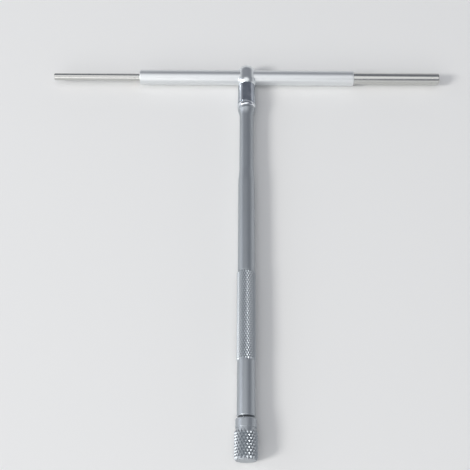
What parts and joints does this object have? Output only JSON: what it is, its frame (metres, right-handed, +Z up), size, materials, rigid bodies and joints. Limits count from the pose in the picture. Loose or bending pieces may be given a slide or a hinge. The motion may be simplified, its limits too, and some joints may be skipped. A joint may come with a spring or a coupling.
{
  "type": "telescoping gauge",
  "caption": "T-shaped telescoping bore gauge: sprung telescoping plungers in a crossways tube on a long handle, locked by a knurled knob at its end.",
  "frame": {"origin": "on the surface that the gauge lies on, under the middle of its overall length and span", "axes": "+X along the measuring head, towards the large plunger's contact; +Y from the knob towards the head; +Z up from the surface it lies on"},
  "size_m": [0.15, 0.152, 0.0075],
  "materials": {
    "satin_chrome": "satin",
    "bright_chrome": "polished",
    "matt_chrome": "matt",
    "polished_steel": "polished",
    "spring_steel": "bright drawn",
    "brass": "turned"
  },
  "bodies": {
    "frame": {"head": "bright_chrome", "centre_tube": "satin_chrome", "end_bush": "brass", "neck_ring": "bright_chrome", "handle": "matt_chrome"},
    "large_plunger": {"large_plunger": "polished_steel", "large_contact": "polished_steel", "plunger_spring": "spring_steel"},
    "small_plunger": {"small_plunger": "polished_steel"},
    "lock_shoe": {"lock_shoe": "brass"},
    "spindle": {"lock_spindle": "spring_steel", "lock_knob": "matt_chrome", "knob_pin": "polished_steel"}
  },
  "joints": [
    {"name": "large_plunger_slide", "type": "slide", "parent": "frame", "child": "large_plunger", "axis": [1, 0, 0], "range_m": [-0.03, 0], "stiffness_N_per_m": 30, "springref_m": 0.04, "deforming": ["plunger_spring"]},
    {"name": "small_plunger_slide", "type": "slide", "parent": "frame", "child": "small_plunger", "axis": [-1, 0, 0], "range_m": [-0.03, 0], "stiffness_N_per_m": 30, "springref_m": 0.04, "deforming": ["plunger_spring"]},
    {"name": "shoe_slide", "type": "slide", "parent": "frame", "child": "lock_shoe", "axis": [0, 1, 0], "range_m": [0, 0.0002]},
    {"name": "knob_turn", "type": "hinge", "parent": "lock_shoe", "child": "spindle", "pos_m": [0, -0.0695, 0.00375], "axis": [0, 1, 0], "range_deg": [0, 145]}
  ],
  "couplings": [
    {"joint": "knob_turn", "follows": "shoe_slide", "rad_per_m": 12566}
  ]
}
